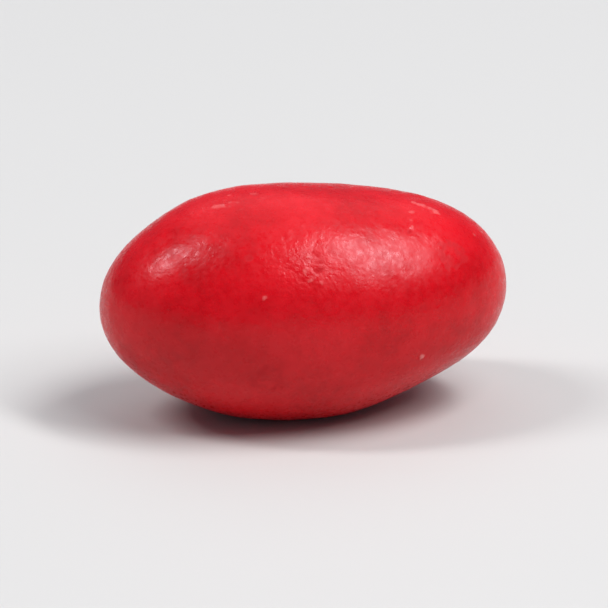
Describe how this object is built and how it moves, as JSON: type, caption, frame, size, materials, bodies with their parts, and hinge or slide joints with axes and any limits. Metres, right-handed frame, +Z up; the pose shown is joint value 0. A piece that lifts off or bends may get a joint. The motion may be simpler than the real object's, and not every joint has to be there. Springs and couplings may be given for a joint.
{
  "type": "candy-coated peanut",
  "caption": "Single sugar-panned nut: a plump, slightly uneven ovoid with a polished red sugar shell, lying on its side on a small flat spot.",
  "frame": {"origin": "middle of the bounding box in plan, at the height of the surface that the sweet lies on", "axes": "+X along the sweet towards its blunter end, -Y to its front, +Z up"},
  "size_m": [0.0184, 0.0112, 0.0103],
  "materials": {
    "sugar_shell": "satin"
  },
  "bodies": {
    "root": {"coated_peanut": "sugar_shell"}
  },
  "joints": []
}
